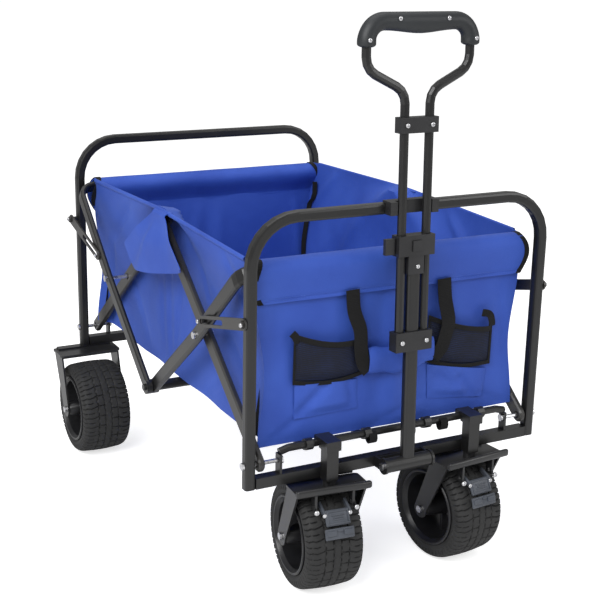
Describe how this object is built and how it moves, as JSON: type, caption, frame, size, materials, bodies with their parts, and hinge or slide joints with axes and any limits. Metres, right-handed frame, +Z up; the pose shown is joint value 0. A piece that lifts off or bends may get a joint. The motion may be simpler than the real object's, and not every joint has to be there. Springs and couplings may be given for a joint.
{
  "type": "folding beach cart",
  "caption": "Folding fabric beach cart on wide wheels: hoop frames, scissor side arms, lift-up floor, braked swivel casters and a telescoping pull handle.",
  "frame": {"origin": "middle of the underside, on the ground under the cart's bounding box", "axes": "+Z up, +X to the right seen from the pull-handle end, -Y towards whoever pulls the handle"},
  "size_m": [0.6432, 0.8538, 0.8896],
  "materials": {
    "frame_paint": "semi-gloss black powder coat",
    "black_plastic": "moulded, lightly grained",
    "grip_rubber": "moulded soft grip",
    "pedal_plastic": "moulded, lightly grained",
    "zinc": "zinc plated",
    "tread": "moulded tread",
    "cloth": "coated woven polyester, creased"
  },
  "bodies": {
    "front_frame": {"front_hoop": "frame_paint", "front_bottom_bar": "frame_paint", "pivot_bolt_front_left": "zinc", "pivot_bolt_front_right": "zinc", "caster_post_left": "frame_paint", "caster_post_right": "frame_paint", "handle_pivot_bracket": "frame_paint", "handle_clip": "black_plastic", "handle_pivot_bolt": "zinc"},
    "arm_front": {"arm_front_left": "frame_paint", "arm_front_right": "frame_paint", "cross_bolt_front_left": "zinc", "cross_bolt_front_right": "zinc"},
    "arm_rear": {"arm_rear_left": "frame_paint", "arm_rear_right": "frame_paint", "cross_bolt_rear_left": "zinc", "cross_bolt_rear_right": "zinc"},
    "front_top": {"front_top_frame": "frame_paint", "centre_cross_tube": "frame_paint"},
    "rear_top": {"rear_top_frame": "frame_paint"},
    "rear_frame": {"rear_hoop": "frame_paint", "rear_bottom_bar": "frame_paint", "pivot_bolt_rear_left": "zinc", "pivot_bolt_rear_right": "zinc", "rear_fork_left": "frame_paint", "rear_fork_right": "frame_paint", "axle_rear_left": "zinc", "axle_rear_right": "zinc"},
    "floor_front": {"floor_frame_front": "frame_paint", "floor_pad_front": "cloth"},
    "floor_rear": {"floor_frame_rear": "frame_paint", "floor_pad_rear": "cloth"},
    "link_front": {"link_front_left": "frame_paint", "link_front_right": "frame_paint"},
    "link_rear": {"link_rear_left": "frame_paint", "link_rear_right": "frame_paint"},
    "bag": {"bag_shell": "cloth"},
    "handle": {"handle_tube": "frame_paint", "lock_block": "black_plastic"},
    "pull": {"handle_loop": "frame_paint", "handle_grip": "grip_rubber", "slider_bracket": "black_plastic", "handle_collar": "black_plastic"},
    "lock_button": {"lock_button": "black_plastic"},
    "lock_lever": {"lock_lever": "black_plastic"},
    "caster_left": {"caster_fork_left": "frame_paint", "axle_front_left": "zinc"},
    "brake_left": {"brake_pedal_left": "pedal_plastic"},
    "wheel_front_left": {"tyre_front_left": "tread", "rim_front_left": "black_plastic"},
    "wheel_rear_left": {"tyre_rear_left": "tread", "rim_rear_left": "black_plastic"},
    "caster_right": {"caster_fork_right": "frame_paint", "axle_front_right": "zinc"},
    "brake_right": {"brake_pedal_right": "pedal_plastic"},
    "wheel_front_right": {"tyre_front_right": "tread", "rim_front_right": "black_plastic"},
    "wheel_rear_right": {"tyre_rear_right": "tread", "rim_rear_right": "black_plastic"}
  },
  "joints": [
    {"name": "fold", "type": "hinge", "parent": "front_frame", "child": "arm_front", "pos_m": [0, -0.36205, 0.235], "axis": [1, 0, 0], "range_deg": [0, 41]},
    {"name": "rear_arm_fold", "type": "hinge", "parent": "arm_front", "child": "arm_rear", "pos_m": [0, 0.01745, 0.531], "axis": [1, 0, 0], "range_deg": [-82.5, 0.5]},
    {"name": "rear_frame_fold", "type": "hinge", "parent": "arm_rear", "child": "rear_frame", "pos_m": [0, 0.39695, 0.235], "axis": [1, 0, 0], "range_deg": [-0.5, 41.5]},
    {"name": "front_top_fold", "type": "hinge", "parent": "arm_front", "child": "front_top", "pos_m": [0, -0.1723, 0.383], "axis": [1, 0, 0], "range_deg": [-82.5, 0.5]},
    {"name": "rear_top_fold", "type": "hinge", "parent": "arm_rear", "child": "rear_top", "pos_m": [0, 0.2072, 0.383], "axis": [1, 0, 0], "range_deg": [-0.5, 82.5]},
    {"name": "bag_fold", "type": "hinge", "parent": "arm_front", "child": "bag", "pos_m": [0, 0.01745, 0.531], "axis": [1, 0, 0], "range_deg": [-41.5, 0.5], "deforming": ["bag_shell"]},
    {"name": "floor_front_fold", "type": "hinge", "parent": "front_frame", "child": "floor_front", "pos_m": [0, -0.36205, 0.252], "axis": [1, 0, 0], "range_deg": [-0.5, 76.5], "deforming": ["floor_pad_front"]},
    {"name": "floor_rear_fold", "type": "hinge", "parent": "rear_frame", "child": "floor_rear", "pos_m": [0, 0.39695, 0.252], "axis": [1, 0, 0], "range_deg": [-76.5, 0.5], "deforming": ["floor_pad_rear"]},
    {"name": "link_front_fold", "type": "hinge", "parent": "front_frame", "child": "link_front", "pos_m": [0, -0.36205, 0.455], "axis": [1, 0, 0], "range_deg": [-0.5, 75]},
    {"name": "link_rear_fold", "type": "hinge", "parent": "rear_frame", "child": "link_rear", "pos_m": [0, 0.39695, 0.455], "axis": [1, 0, 0], "range_deg": [-75, 0.5]},
    {"name": "handle_tilt", "type": "hinge", "parent": "front_frame", "child": "handle", "pos_m": [0, -0.39605, 0.207], "axis": [1, 0, 0], "range_deg": [0, 100]},
    {"name": "handle_slide", "type": "slide", "parent": "handle", "child": "pull", "axis": [0, 0.0297, 0.9996], "range_m": [-0.098, 0.088]},
    {"name": "lock_press", "type": "slide", "parent": "handle", "child": "lock_button", "axis": [0, 0.9996, -0.0297], "range_m": [0, 0.002], "stiffness_N_per_m": 600},
    {"name": "lock_lever_turn", "type": "hinge", "parent": "handle", "child": "lock_lever", "pos_m": [-0.0358, -0.38579, 0.55285], "axis": [0, 0.0297, 0.9996], "range_deg": [0, 12], "stiffness_Nm_per_rad": 0.3},
    {"name": "caster_swivel_left", "type": "hinge", "parent": "front_frame", "child": "caster_left", "pos_m": [-0.13, -0.38085, 0.19], "axis": [0, 0, 1], "continuous": true},
    {"name": "wheel_spin_front_left", "type": "hinge", "parent": "caster_left", "child": "wheel_front_left", "pos_m": [-0.12554, -0.33457, 0.089], "axis": [0.9954, -0.0958, 0], "continuous": true},
    {"name": "brake_press_left", "type": "hinge", "parent": "caster_left", "child": "brake_left", "pos_m": [-0.13173, -0.39877, 0.163], "axis": [0.9954, -0.0958, 0], "range_deg": [0, 4.5]},
    {"name": "wheel_spin_rear_left", "type": "hinge", "parent": "rear_frame", "child": "wheel_rear_left", "pos_m": [-0.2595, 0.33795, 0.089], "axis": [1, 0, 0], "continuous": true},
    {"name": "caster_swivel_right", "type": "hinge", "parent": "front_frame", "child": "caster_right", "pos_m": [0.13, -0.38085, 0.19], "axis": [0, 0, 1], "continuous": true},
    {"name": "wheel_spin_front_right", "type": "hinge", "parent": "caster_right", "child": "wheel_front_right", "pos_m": [0.12554, -0.33457, 0.089], "axis": [0.9954, 0.0958, 0], "continuous": true},
    {"name": "brake_press_right", "type": "hinge", "parent": "caster_right", "child": "brake_right", "pos_m": [0.13173, -0.39877, 0.163], "axis": [0.9954, 0.0958, 0], "range_deg": [0, 4.5]},
    {"name": "wheel_spin_rear_right", "type": "hinge", "parent": "rear_frame", "child": "wheel_rear_right", "pos_m": [0.2595, 0.33795, 0.089], "axis": [1, 0, 0], "continuous": true}
  ],
  "couplings": [
    {"joint": "rear_arm_fold", "follows": "fold", "ratio": -2},
    {"joint": "rear_frame_fold", "follows": "fold", "ratio": 1},
    {"joint": "front_top_fold", "follows": "fold", "ratio": -2},
    {"joint": "rear_top_fold", "follows": "fold", "ratio": 2},
    {"joint": "bag_fold", "follows": "fold", "ratio": -1},
    {"joint": "floor_front_fold", "follows": "fold", "ratio": 1.85},
    {"joint": "floor_rear_fold", "follows": "fold", "ratio": -1.85},
    {"joint": "link_front_fold", "follows": "fold", "ratio": 1.813},
    {"joint": "link_rear_fold", "follows": "fold", "ratio": -1.813}
  ]
}
